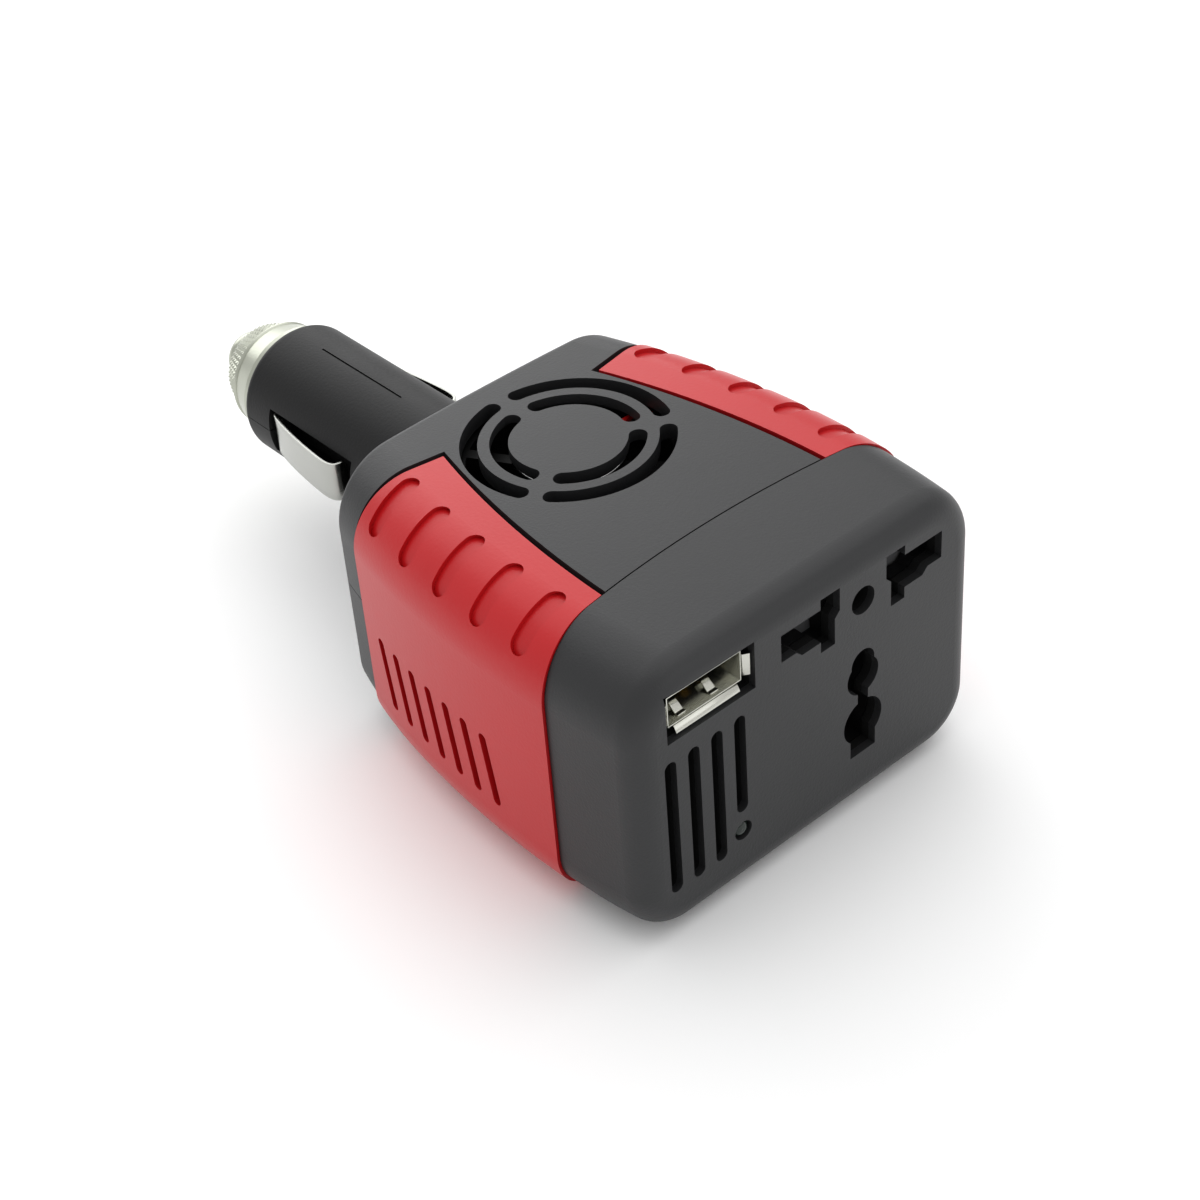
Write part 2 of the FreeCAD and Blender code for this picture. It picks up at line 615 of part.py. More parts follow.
for side, label in ((-1, "live"), (1, "neutral")):
    far, near = sorted((ox + 14.6 * side, ox + 4.2 * side))
    leaf = 0.5
    upper = span(label + "_upper_leaf", (far, dim.contact_front, oz + 2.7), (near, 13.9, oz + 2.7 + leaf))
    lower = span(label + "_lower_leaf", (far, dim.contact_front, oz - 1.7), (near, 13.9, oz - 1.7 + leaf))
    web = span(label + "_web", (far, 13.9 - leaf, oz - 1.7), (near, 13.9, oz + 2.7 + leaf))
    tab_x = ox + 10 * side
    tab = span(label + "_tab", (tab_x - 1.2, 13.5, oz - 0.95), (tab_x + 1.2, 18, oz - 0.45))
    node(fuse(label + "_contact", upper, lower, web, tab))
node(fuse("earth_contact",
          span("earth_left_leaf", (ox - 3.9, dim.contact_front, oz - 24.5), (ox - 3.4, 13.9, oz - 17)),
          span("earth_right_leaf", (ox + 3.4, dim.contact_front, oz - 24.5), (ox + 3.9, 13.9, oz - 17)),
          span("earth_web", (ox - 3.9, 13.4, oz - 24.5), (ox + 3.9, 13.9, oz - 17))))

# The shutter is a plate with a sloped cam behind each pin opening; pins drive it down on its springs.
shutter_top = rest_low + dim.shutter_high
cams = [prism_x("%s_cam" % label, ox + near, ox + far, [
    (shutter_y, rest_low), (shutter_back, rest_low), (shutter_back, shutter_top),
    (shutter_back - 0.9, shutter_top)])
    for label, near, far in (("live", -14.6, -4.0), ("neutral", 4.0, 14.6))]
bridge = span("shutter_bridge", (ox - 4.1, shutter_y + 0.6, rest_low), (ox + 4.1, shutter_back, rest_low + 1.6))
bridge_hole = rod("bridge_hole", (ox, 2, oz), "y", 8, 2.4)
node(cut("safety_shutter", fuse("shutter_blank", *cams, bridge), bridge_hole))


def coil_spring(name, base, axis, length, radius, wire, turns):
    """A round wire spring; base is the middle of its first end."""
    helix = Part.makeHelix((length - wire * 2) / turns, length - wire * 2, radius)
    start = Vector(radius, 0, 0)
    section = Part.Wire([Part.Circle(start, Vector(0, 1, 0), wire).toShape()])
    obj = doc.addObject("Part::Feature", name)
    obj.Shape = Part.Wire(helix.Edges).makePipeShell([section], True, True)
    first_turn = TURN[axis].multVec(Vector(0, 0, wire))
    return locate(obj, [a + b for a, b in zip(base, first_turn)], TURN[axis])


node(group("shutter_springs", *[
    coil_spring("shutter_spring_%d" % k, (x, shutter_y + plate / 2, spring_low + 0.05), "z",
                float(rest_low) - spring_low - 0.1, 0.85, 0.16, 12)
    for k, x in enumerate(SPRING_X)]))

# ---------------------------------------------------------------- USB port and indicator lamp
ux, uz = dim.usb_x, dim.usb_z
mouth, rear = 0.9, 15.0
can = cut("usb_can", span("usb_can_outer", (ux - 6.6, mouth, uz - 2.9), (ux + 6.6, rear, uz + 2.9)),
          span("usb_can_inner", (ux - 6.3, mouth - 1, uz - 2.6), (ux + 6.3, rear - 0.3, uz + 2.6)))
lips = [span("usb_lip_top", (ux - 5.6, mouth, uz + 2.8), (ux + 5.6, mouth + 0.3, uz + 3.4)),
        span("usb_lip_low", (ux - 5.6, mouth, uz - 3.4), (ux + 5.6, mouth + 0.3, uz - 2.8)),
        span("usb_lip_left", (ux - 7.1, mouth, uz - 2.0), (ux - 6.5, mouth + 0.3, uz + 2.0)),
        span("usb_lip_right", (ux + 6.5, mouth, uz - 2.0), (ux + 7.1, mouth + 0.3, uz + 2.0))]
node(fuse("usb_shell", can, *lips))
node(fuse("usb_tongue", span("usb_tongue_blade", (ux - 5.5, 3.4, uz + 0.3), (ux + 5.5, 14.0, uz + 2.1)),
          span("usb_tongue_root", (ux - 6.2, 11.9, uz - 2.5), (ux + 6.2, 14.6, uz + 2.5))))
node(group("usb_contacts", *[
    span("usb_contact_%d" % k, (ux + x - 0.5, 4.2, uz + 0.1), (ux + x + 0.5, 11.8, uz + 0.28))
    for k, x in enumerate((-3.5, -1.0, 1.0, 3.5))]))
usb_board = span("usb_board_blank", (ux - 7.6, 2.9, uz - 4.3), (ux + 8.2, 18.6, uz - 3.0))
usb_chip = span("usb_chip", (ux - 3, 5.0, uz - 5.9), (ux + 2, 9.0, uz - 4.3))
usb_coil = rod("usb_coil", (ux + 4.6, 13.4, uz - 6.9), "z", 2.6, 2.4)
node(usb_board, "usb_board")
node(group("usb_regulator", usb_chip, usb_coil))
lamp_dome = turned_y("lamp_blank", (dim.lamp_x, dim.lamp_z), [
    (0.1, 0), (0.4, dim.lamp_r * 0.75, "via"), (1.2, dim.lamp_r), (3.0, dim.lamp_r), (3.0, 1.9),
    (4.0, 1.9), (4.0, 0)])
lamp_legs = [rod("lamp_leg_%d" % k, (dim.lamp_x + x, 3.9, dim.lamp_z), "y", dim.board_front - 3.9, 0.25)
             for k, x in enumerate((-1.0, 1.0))]
node(fuse("indicator_lamp", lamp_dome, *lamp_legs))

# ---------------------------------------------------------------- fan
fy, half, bore = dim.fan_y, dim.fan_half, dim.fan_bore
fan_box = span("fan_box", (-half, fy - half, dim.fan_low), (half, fy + half, dim.fan_high))
tunnel = rod("fan_tunnel", (0, fy, dim.fan_low - 1), "z", 12, bore)
frame_ring = cut("fan_ring", fan_box, tunnel)
hub_plate = rod("fan_hub_plate", (0, fy, dim.fan_high - 1.2), "z", 1.2, 7.4)
struts = [box("fan_strut_a", (7.0, fy - 0.9, dim.fan_high - 1.2), (7.6, 1.8, 1.2)),
          locate(bind(doc.addObject("Part::Box", "fan_strut_b"), Length=7.6, Width=1.8, Height=1.2),
                 (-4.28, fy + 5.61, dim.fan_high - 1.2), Rotation(Vector(0, 0, 1), 120)),
          locate(bind(doc.addObject("Part::Box", "fan_strut_c"), Length=7.6, Width=1.8, Height=1.2),
                 (-2.72, fy - 6.51, dim.fan_high - 1.2), Rotation(Vector(0, 0, 1), 240))]
bolt_holes = [rod("fan_hole_%d" % k, (x * 12.7, fy + y * 12.7, dim.fan_low - 1), "z", 12, 1.4)
              for k, (x, y) in enumerate(((-1, -1), (1, -1), (1, 1), (-1, 1)))]
post = rod("fan_bush", (0, fy, dim.fan_low + 1.6), "z", 4.6, 1.6)
post_bore = rod("fan_bush_bore", (0, fy, dim.fan_low), "z", 5.4, 0.8)
wire_notch = span("wire_notch", (13.6, fy - 2.2, dim.fan_high - 1.9), (16, fy + 1.6, dim.fan_high + 1))
node(cut("fan_frame", fuse("fan_frame_blank", frame_ring, hub_plate, *struts, post),
         *bolt_holes, post_bore, wire_notch))
node(rod("fan_label", (0, fy, dim.fan_high), "z", 0.15, 7.0), "fan_label")
hub = cut("hub_cup", rod("hub_outer", (0, fy, dim.fan_low + 0.4), "z", 5.0, 7.0),
          rod("hub_inner", (0, fy, dim.fan_low + 1.3), "z", 5.0, 5.9))
blades = []
for k in range(7):
    blade = doc.addObject("Part::Box", "blade_%d" % k)
    bind(blade, Length=7.0, Width=0.7, Height=5.2)
    angle = 360 / 7 * k
    reach = 6.6
    tilt = Rotation(Vector(0, 0, 1), angle) * Rotation(Vector(1, 0, 0), -38)
    place = (reach * math.cos(math.radians(angle)), fy + reach * math.sin(math.radians(angle)),
             dim.fan_low + 0.9)
    blades.append(locate(blade, place, tilt))
sweep = cut("blade_sweep", rod("sweep_outer", (0, fy, dim.fan_low + 0.4), "z", 5.2, 13.5),
            rod("sweep_inner", (0, fy, dim.fan_low), "z", 7, 6.3))
trimmed = common("blades", fuse("blade_set", *blades), sweep)
node(cut("fan_rotor", fuse("rotor_blank", hub, trimmed),
         rod("rotor_bore", (0, fy, dim.fan_low), "z", 5.4, 0.75)))
node(rod("fan_shaft", (0, fy, dim.fan_low + 0.6), "z", 4.4, 0.75), "fan_shaft")
stator_core = cut("stator_core", rod("stator_outer", (0, fy, dim.fan_low + 2.2), "z", 3.2, 5.2),
                  rod("stator_inner", (0, fy, dim.fan_low), "z", 7, 1.65))
node(stator_core, "fan_stator")

# ---------------------------------------------------------------- circuit board and what it carries
board = span("board_blank", (-dim.board_half, dim.board_front, dim.board_z),
             (dim.board_half, dim.board_back, board_top))
node(cut("circuit_board", board, *board_holes))
core_y = 36.5
core_outer = span("core_outer", (-12.5, core_y - 4, board_top + 3), (12.5, core_y + 4, board_top + 19))
core_window = [
    span("core_window_%d" % k, (x, core_y - 5, board_top + 6), (x + 5.6, core_y + 5, board_top + 16))
    for k, x in enumerate((-9.5, 3.9))]
node(cut("transformer_core", core_outer, *core_window))
winding = span("winding_outer", (-9.4, core_y - 8, board_top + 6.1), (9.4, core_y + 8, board_top + 15.9))
limb = span("core_limb", (-3.9, core_y - 4.02, board_top + 5), (3.9, core_y + 4.02, board_top + 17))
bobbin_foot = span("bobbin_foot", (-9.4, core_y - 9.5, board_top), (9.4, core_y + 9.5, board_top + 2.9))
node(cut("transformer_winding", winding, limb))
node(bobbin_foot, "transformer_base")
node(group("input_capacitors", *[
    turned_z("capacitor_%d" % k, (x, 51.2), [
        (0, board_top), (4.0, board_top), (4.0, board_top + 1.2), (3.6, board_top + 1.6),
        (4.0, board_top + 2.0), (4.0, board_top + 14), (0, board_top + 14)])
    for k, x in enumerate((-8.5, 8.5))]))
node(turned_z("output_capacitor", (10.4, 21.0), [
    (0, board_top), (3.6, board_top), (3.6, board_top + 11), (0, board_top + 11)]))
transistors = []
sinks = []
for side in (-1, 1):
    sink_x = side * 20.6
    near, far = sorted((sink_x - side * 0.6, sink_x + side * 0.6))
    sinks.append(span("sink_%d" % side, (near, 27.5, board_top), (far, 46.5, board_top + 18)))
    for k, y in enumerate((32.0, 42.0)):
        tag = "_%d_%d" % (side, k)
        inner, outward = sorted((sink_x - side * 0.6, sink_x - side * 4.6))
        case = span("case" + tag, (inner, y - 4.6, board_top + 4), (outward, y + 4.6, board_top + 13))
        legs = [span("leg%s_%d" % (tag, j), (sink_x - side * 2.6 - 0.3, y + dy - 0.3, board_top),
                     (sink_x - side * 2.6 + 0.3, y + dy + 0.3, board_top + 4.2))
                for j, dy in enumerate((-2.5, 0, 2.5))]
        transistors.append(fuse("transistor" + tag, case, *legs))
node(group("power_transistors", *transistors))
node(group("heat_sinks", *sinks))
choke_at = (-9.0, 21.2, board_top + 2.8)
core = cut("choke_ring", rod("choke_outer", (choke_at[0], choke_at[1], choke_at[2] - 1.3), "z", 2.6, 4.4),
           rod("choke_inner", (choke_at[0], choke_at[1], choke_at[2] - 2), "z", 4, 2.4))
node(core, "choke_core")
loops = []
for k in range(10):
    angle = math.radians(36 * k)
    loop = bind(doc.addObject("Part::Torus", "choke_loop_%d" % k), Radius1=2.1, Radius2=0.28)
    place = (choke_at[0] + 3.4 * math.cos(angle), choke_at[1] + 3.4 * math.sin(angle), choke_at[2])
    loops.append(locate(loop, place, Rotation(Vector(0, 0, 1), 36 * k) * Rotation(Vector(1, 0, 0), 90)))
node(group("choke_winding", *loops))
node(span("controller_chip", (-2.5, 19, board_top + 0.6), (5.5, 23.6, board_top + 3.0)), "controller_chip")
node(group("chip_legs", *[
    span("chip_leg_%d" % k, (-2.1 + 2.2 * (k % 4), (18.2 if k < 4 else 23.6), board_top),
         (-1.5 + 2.2 * (k % 4), (19.0 if k < 4 else 24.4), board_top + 1.6)) for k in range(8)]))

# ---------------------------------------------------------------- plug
pz, barrel_r = dim.plug_z, dim.barrel_r
barrel_body = turned_y("barrel_blank", (0, pz), [
    (dim.flange_y, 0), (dim.flange_y, dim.flange_r), (61.2, dim.flange_r), (61.2, barrel_r),
    (dim.barrel_end - 1.2, barrel_r), (dim.barrel_end - 0.35, barrel_r - 0.35, "via"),
    (dim.barrel_end, barrel_r - 1.2), (dim.barrel_end, 6.6), (113.0, 6.6), (113.0, 0)])
flat = span("flange_flat", (-20, 58, 32.2), (20, 61.35, 50))
rear_room = rod("rear_room", (0, 58, pz), "y", 9, 7.6)
fuse_way = rod("fuse_way", (0, 66, pz), "y", 50, dim.fuse_bore)
slots = [span("leaf_slot_%d" % k, (low_x, dim.spring_slot_low, pz - dim.spring_slot_half),
              (high_x, dim.spring_slot_high, pz + dim.spring_slot_half))
         for k, (low_x, high_x) in enumerate(((-12.0, -5.4), (5.4, 12.0)))]
strap_way = fuse("strap_way", span("strap_room", (-8.0, 100.4, pz - 6.0), (8.0, 102.6, pz - 3.9)),
                 rod("lead_way", (0, 58, pz - 6.0), "y", 44.5, 1.1))
top_line = span("top_line", (-0.15, 82.4, pz + barrel_r - 0.2), (0.15, 101.2, pz + barrel_r + 1))
hollow = cut("barrel", barrel_body, flat, rear_room, fuse_way, *slots, strap_way, top_line)
split_gap = 0.1
node(common("barrel_top", hollow, span("upper_room", (-20, 50, pz + split_gap), (20, 130, pz + 30))))
node(common("barrel_bottom", hollow, span("lower_room", (-20, 50, pz - 30), (20, 130, pz))))

node(turned_y("nose_cap", (0, pz), [
    (dim.barrel_end + 0.05, 6.65), (dim.barrel_end + 0.05, dim.nose_r), (dim.barrel_end + 0.9, dim.nose_r),
    (dim.barrel_end + 1.0, dim.nose_r - 0.25), (dim.ridge_y - 0.3, dim.ridge_r + 0.25),
    (dim.ridge_y, dim.ridge_r), (dim.nose_end - 0.6, dim.nose_end_r + 0.25),
    (dim.nose_end, dim.nose_end_r - 0.4), (dim.nose_end, dim.pin_r + 0.1), (118.0, dim.pin_r + 0.1),
    (118.0, 5.0), (113.1, 5.0), (113.1, 6.65)]))
node(turned_y("tip_pin", (0, pz), [
    (111.4, 0), (111.4, 3.3), (116.3, 3.3), (116.3, 4.7), (117.9, 4.7), (117.9, dim.pin_r),
    (dim.tip_y - 1.6, dim.pin_r), (dim.tip_y - 0.47, dim.pin_r - 0.47, "via"),
    (dim.tip_y, dim.pin_r - 1.6), (dim.tip_y, 0)]))
fuse_front = 111.35
fuse_back = 81.5
node(turned_y("fuse_glass", (0, pz), [
    (fuse_back + 5.6, 2.3), (fuse_back + 5.6, 3.05), (fuse_front - 5.6, 3.05), (fuse_front - 5.6, 2.3)]))
caps = []
for k, (open_y, shut_y) in enumerate(((fuse_front - 5.6, fuse_front), (fuse_back + 5.6, fuse_back))):
    caps.append(turned_y("fuse_cap_%d" % k, (0, pz), [
        (open_y, 0), (open_y, 3.2), (shut_y, 3.2), (shut_y, 0)]))
node(group("fuse_caps", *caps))
node(rod("fuse_wire", (0, fuse_back + 5.6, pz), "y", fuse_front - fuse_back - 11.2, 0.2), "fuse_wire")
spring_seat = 69.0
node(coil_spring("tip_spring", (0, spring_seat, pz), "y", fuse_back - spring_seat, 2.5, 0.3, 6))
node(turned_y("rear_contact", (0, pz), [
    (67.2, 0), (67.2, 3.3), (spring_seat, 3.3), (spring_seat, 0)]))
node(fuse("ground_strap",
          span("strap_bar", (-7.6, 100.8, pz - 5.2), (7.6, 102.2, pz - 4.7)),
          span("strap_left", (-7.6, 100.8, pz - 5.2), (-7.1, 102.2, pz - 4.5)),
          span("strap_right", (7.1, 100.8, pz - 5.2), (7.6, 102.2, pz - 4.5))))


# Side contacts: a leaf anchored at the nose end, bowed outwards towards the body and tucked in at its
# rear end.
def leaf_contact(name, side):
    leaf = 0.5
    outer_line = [(-9.6, 102.4), (-11.25, 95.0, "via"), (-12.0, 87.5), (-11.75, 85.6, "via"),
                  (-10.6, 84.6), (-8.8, 84.9)]
    inner_line = [(-8.8, 85.4), (-10.45, 85.1), (-11.3, 85.85, "via"), (-11.5, 87.5),
                  (-10.77, 94.9, "via"), (-9.15, 102.0), (-7.2, 102.0), (-7.2, 102.4)]
    outline = [(-side * point[0],) + tuple(point[1:]) for point in outer_line + inner_line]
    return slab(name, pz - dim.leaf_half, pz + dim.leaf_half, outline)


node(leaf_contact("left_contact_spring", -1))
node(leaf_contact("right_contact_spring", 1))

# ---------------------------------------------------------------- internal leads
plug_axis = float(pz)
top = float(board_top) + 0.02
node(lead("supply_lead_red", [(0, 67.15, plug_axis), (0, 61.0, plug_axis), (-1.5, 57.6, 18.4),
                              (-1.6, 57.0, 14.4), (-1.6, 57.0, top)], 0.9))
node(lead("supply_lead_black", [(0, 100.6, plug_axis - 6), (0, 61.5, plug_axis - 6),
                                (2.2, 57.0, 14.8), (2.2, 57.0, top)], 0.75))
node(lead("fan_lead_red", [(8.6, 45.5, 39.95), (14.6, 45.5, 39.9), (16.7, 45.6, 36.4),
                           (15.4, 47.0, 28.0), (14.6, 48.4, 18.0), (14.6, 48.4, top)], 0.45))
node(lead("fan_lead_black", [(8.6, 44.3, 39.95), (14.6, 44.3, 39.9), (16.7, 43.6, 36.4),
                             (15.6, 41.0, 28.0), (14.3, 37.6, 19.0), (14.3, 37.4, top)], 0.45))
node(lead("live_lead", [(-1.1, 18.2, 34.3), (-2.0, 22.0, 33.8), (-7.0, 24.6, 29.6), (-13.6, 26.0, 21.0),
                        (-15.1, 26.3, 15.6), (-15.1, 26.3, top)], 0.6))
node(lead("neutral_lead", [(18.9, 18.2, 34.3), (17.6, 20.6, 33.9), (15.6, 24.4, 28.6),
                           (15.4, 25.8, 18.0), (15.4, 25.8, top)], 0.6))

# ---------------------------------------------------------------- check and write
doc.recompute()
for obj in doc.Objects:
    faults = [state for state in obj.State if state in ("Invalid", "Error")]
    if faults:
        raise RuntimeError("%s: %s" % (obj.Name, faults))

os.makedirs("parts", exist_ok=True)
for part in nodes:
    shape = part.Shape
    if shape.isNull() or not shape.isValid() or not shape.Solids:
        raise RuntimeError("%s has no valid solid" % part.Label)
    shape.exportStep("parts/%s.step" % part.Label)
print("%d nodes written" % len(nodes))
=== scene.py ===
import math

import bmesh
import bpy
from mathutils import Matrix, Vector


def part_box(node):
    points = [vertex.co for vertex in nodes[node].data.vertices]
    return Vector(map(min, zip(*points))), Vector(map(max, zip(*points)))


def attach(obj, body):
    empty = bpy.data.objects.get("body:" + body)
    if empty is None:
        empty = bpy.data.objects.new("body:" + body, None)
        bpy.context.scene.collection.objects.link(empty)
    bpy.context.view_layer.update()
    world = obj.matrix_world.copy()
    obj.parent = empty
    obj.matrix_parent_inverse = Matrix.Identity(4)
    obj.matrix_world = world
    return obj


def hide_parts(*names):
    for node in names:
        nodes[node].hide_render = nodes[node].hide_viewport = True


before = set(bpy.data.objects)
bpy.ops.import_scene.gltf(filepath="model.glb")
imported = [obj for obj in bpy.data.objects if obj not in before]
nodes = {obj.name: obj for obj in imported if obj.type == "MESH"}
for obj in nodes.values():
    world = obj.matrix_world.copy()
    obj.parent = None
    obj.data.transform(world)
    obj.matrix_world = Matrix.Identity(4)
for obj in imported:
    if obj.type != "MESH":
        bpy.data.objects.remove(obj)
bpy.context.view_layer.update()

# ---------------------------------------------------------------- table, lamps and camera
# The inverter stands on a white sweep of card in a light tent: a big soft lamp overhead on the right,
# a weak one in front and a strip behind, so that the satin plastic shows long, soft reflections.
tent = bpy.data.worlds.new("light_tent")
tent.use_nodes = True
tent.node_tree.nodes["Background"].inputs["Color"].default_value = (1.0, 1.0, 1.0, 1)
tent.node_tree.nodes["Background"].inputs["Strength"].default_value = 0.66
bpy.context.scene.world = tent
bpy.context.scene.view_settings.view_transform = "Standard"
bpy.context.scene.view_settings.look = "Medium High Contrast"

bpy.ops.object.select_all(action="DESELECT")
bpy.ops.mesh.primitive_plane_add(size=6, location=(0, 0, 0))
sweep = bpy.context.object
sweep.name = "white_sweep"
card = bpy.data.materials.new("white_card")
card.use_nodes = True
card_surface = card.node_tree.nodes["Principled BSDF"]
card_surface.inputs["Base Color"].default_value = (0.98, 0.98, 0.98, 1)
card_surface.inputs["Roughness"].default_value = 0.55
card_surface.inputs["Specular IOR Level"].default_value = 0.3
sweep.data.materials.append(card)

AIM = Vector((0.0, -0.012, 0.02))
for lamp_name, place, width, height, watts in (
        ("overhead_lamp", (0.22, 0.14, 0.72), 1.40, 1.20, 3.2),
        ("front_lamp", (0.25, -0.80, 0.40), 0.60, 0.40, 0.4),
        ("back_lamp", (0.25, 0.80, 0.35), 0.90, 0.40, 1.8)):
    bpy.ops.object.light_add(type="AREA", location=place)
    lamp = bpy.context.object
    lamp.name = lamp_name
    lamp.data.shape = "RECTANGLE"
    lamp.data.size, lamp.data.size_y = width, height
    lamp.data.energy = watts
    lamp.rotation_euler = (AIM - Vector(place)).to_track_quat("-Z", "Y").to_euler()

bpy.ops.object.camera_add(location=(-0.16794, -0.22725, 0.23066),
                          rotation=[math.radians(a) for a in (51.215, 3.641, -42.049)])
camera = bpy.context.object
camera.name = "camera"
camera.data.lens, camera.data.sensor_width = 74.43, 36.0
camera.data.clip_start = 0.01
bpy.context.scene.camera = camera
bpy.ops.object.select_all(action="DESELECT")


# ---------------------------------------------------------------- black casing
# Two shells and a front cover, injection moulded in black ABS with a fine spark-eroded texture, and
# held together by four screws whose heads sit under the grips.
def finish_of(name, colour, roughness, **sockets):
    """A new material with its plain, unlinked settings on the surface node."""
    material = bpy.data.materials.new(name)
    material.use_nodes = True
    surface = material.node_tree.nodes["Principled BSDF"]
    surface.inputs["Base Color"].default_value = (*colour, 1)
    surface.inputs["Roughness"].default_value = roughness
    for socket, value in sockets.items():
        surface.inputs[socket.replace("_", " ")].default_value = value
    return material


def grain(material, pitch, depth, stretch=(1, 1, 1), detail=3, tone=0.0, shine=0.0, blur=0.5):
    """Fine surface grain: a bump of this pitch and depth in metres, and broad, faint changes of
    colour (tone) and of roughness (shine)."""
    tree = material.node_tree
    surface = tree.nodes["Principled BSDF"]
    place = tree.nodes.new("ShaderNodeTexCoord")
    turn = tree.nodes.new("ShaderNodeMapping")
    turn.inputs["Scale"].default_value = stretch
    tree.links.new(place.outputs["Object"], turn.inputs["Vector"])
    noise = tree.nodes.new("ShaderNodeTexNoise")
    noise.inputs["Scale"].default_value = 1 / pitch
    noise.inputs["Detail"].default_value = detail
    noise.inputs["Roughness"].default_value = blur
    tree.links.new(turn.outputs["Vector"], noise.inputs["Vector"])
    bump = tree.nodes.new("ShaderNodeBump")
    bump.name = "grain_bump"
    bump.inputs["Distance"].default_value = depth
    tree.links.new(noise.outputs["Fac"], bump.inputs["Height"])
    tree.links.new(bump.outputs["Normal"], surface.inputs["Normal"])
    if tone or shine:
        broad = tree.nodes.new("ShaderNodeTexNoise")
        broad.name = "broad_noise"
        broad.inputs["Scale"].default_value = 1 / (pitch * 40)
        broad.inputs["Detail"].default_value = 4
        tree.links.new(turn.outputs["Vector"], broad.inputs["Vector"])
    if tone:
        shade = tree.nodes.new("ShaderNodeMapRange")
        shade.inputs["To Min"].default_value = 1 - tone
        shade.inputs["To Max"].default_value = 1 + tone
        tree.links.new(broad.outputs["Fac"], shade.inputs["Value"])
        tint = tree.nodes.new("ShaderNodeMix")
        tint.name = "tone_mix"
        tint.data_type = "RGBA"
        tint.blend_type = "MULTIPLY"
        tint.inputs["Factor"].default_value = 1
        tint.inputs["A"].default_value = surface.inputs["Base Color"].default_value
        tree.links.new(shade.outputs["Result"], tint.inputs["B"])
        tree.links.new(tint.outputs["Result"], surface.inputs["Base Color"])
    if shine:
        gloss = tree.nodes.new("ShaderNodeMapRange")
        level = surface.inputs["Roughness"].default_value
        gloss.inputs["To Min"].default_value = level - shine
        gloss.inputs["To Max"].default_value = level + shine
        tree.links.new(broad.outputs["Fac"], gloss.inputs["Value"])
        tree.links.new(gloss.outputs["Result"], surface.inputs["Roughness"])
    return material


def dress(material, *names):
    """Give CAD pieces a finish."""
    for name in names:
        mesh = nodes[name].data
        mesh.materials.clear()
        mesh.materials.append(material)


casing_black = grain(finish_of("casing_black", (0.033, 0.0335, 0.035), 0.42, Specular_IOR_Level=0.5),
                     pitch=0.00035, depth=0.00003, tone=0.10, shine=0.04)
dress(casing_black, "top_shell", "bottom_shell")

# The cover's openings and its back are made rougher and carry painted shade: inside a box behind the face
# the colour is mixed to near black, so that they look blacker than its face.
cover_black_painted_shade = casing_black.copy()
cover_black_painted_shade.name = "cover_black_painted_shade"
cover_tree = cover_black_painted_shade.node_tree
cover_surface = cover_tree.nodes["Principled BSDF"]
cover_place = cover_tree.nodes.new("ShaderNodeTexCoord")
cover_split = cover_tree.nodes.new("ShaderNodeSeparateXYZ")
cover_tree.links.new(cover_place.outputs["Object"], cover_split.inputs["Vector"])
inside = None
for axis, middle, half in (("X", 0.0, 0.0258), ("Y", -0.0476, 0.0130), ("Z", 0.0225, 0.0174)):
    within = cover_tree.nodes.new("ShaderNodeMath")
    within.operation = "COMPARE"
    within.inputs[1].default_value, within.inputs[2].default_value = middle, half
    cover_tree.links.new(cover_split.outputs[axis], within.inputs[0])
    if inside is not None:
        both = cover_tree.nodes.new("ShaderNodeMath")
        both.operation = "MULTIPLY"
        cover_tree.links.new(inside.outputs["Value"], both.inputs[0])
        cover_tree.links.new(within.outputs["Value"], both.inputs[1])
        within = both
    inside = within
# Painted shade: a near-black colour mixed over the casing colour inside the box behind the cover's face.
recess_painted_shade = cover_tree.nodes.new("ShaderNodeMix")
recess_painted_shade.data_type = "RGBA"
recess_painted_shade.inputs["B"].default_value = (0.004, 0.004, 0.004, 1)
cover_tree.links.new(inside.outputs["Value"], recess_painted_shade.inputs["Factor"])
cover_tree.links.new(cover_tree.nodes["tone_mix"].outputs["Result"], recess_painted_shade.inputs["A"])
cover_tree.links.new(recess_painted_shade.outputs["Result"], cover_surface.inputs["Base Color"])
cover_gloss = cover_tree.nodes.new("ShaderNodeMapRange")
cover_gloss.inputs["To Min"].default_value, cover_gloss.inputs["To Max"].default_value = 0.42, 0.85
cover_tree.links.new(inside.outputs["Value"], cover_gloss.inputs["Value"])
cover_tree.links.new(cover_gloss.outputs["Result"], cover_surface.inputs["Roughness"])
dress(cover_black_painted_shade, "front_cover")

screw_zinc = grain(finish_of("screw_zinc", (0.45, 0.44, 0.42), 0.32, Metallic=1.0),
                   pitch=0.0006, depth=0.00002, tone=0.15, shine=0.06)
dress(screw_zinc, "casing_screws")

# ---------------------------------------------------------------- red grips
# Two wrap-around side grips, moulded in red semi-gloss ABS and snapped into recesses in the casing,
# each with five finger scoops on its upper edge and seven leaning vents below.
grip_red = grain(finish_of("grip_red", (0.50, 0.012, 0.016), 0.36, Specular_IOR_Level=0.5,
                           Coat_Weight=0.15, Coat_Roughness=0.25),
                 pitch=0.0005, depth=0.00002, tone=0.06, shine=0.04)
dress(grip_red, "left_grip", "right_grip")

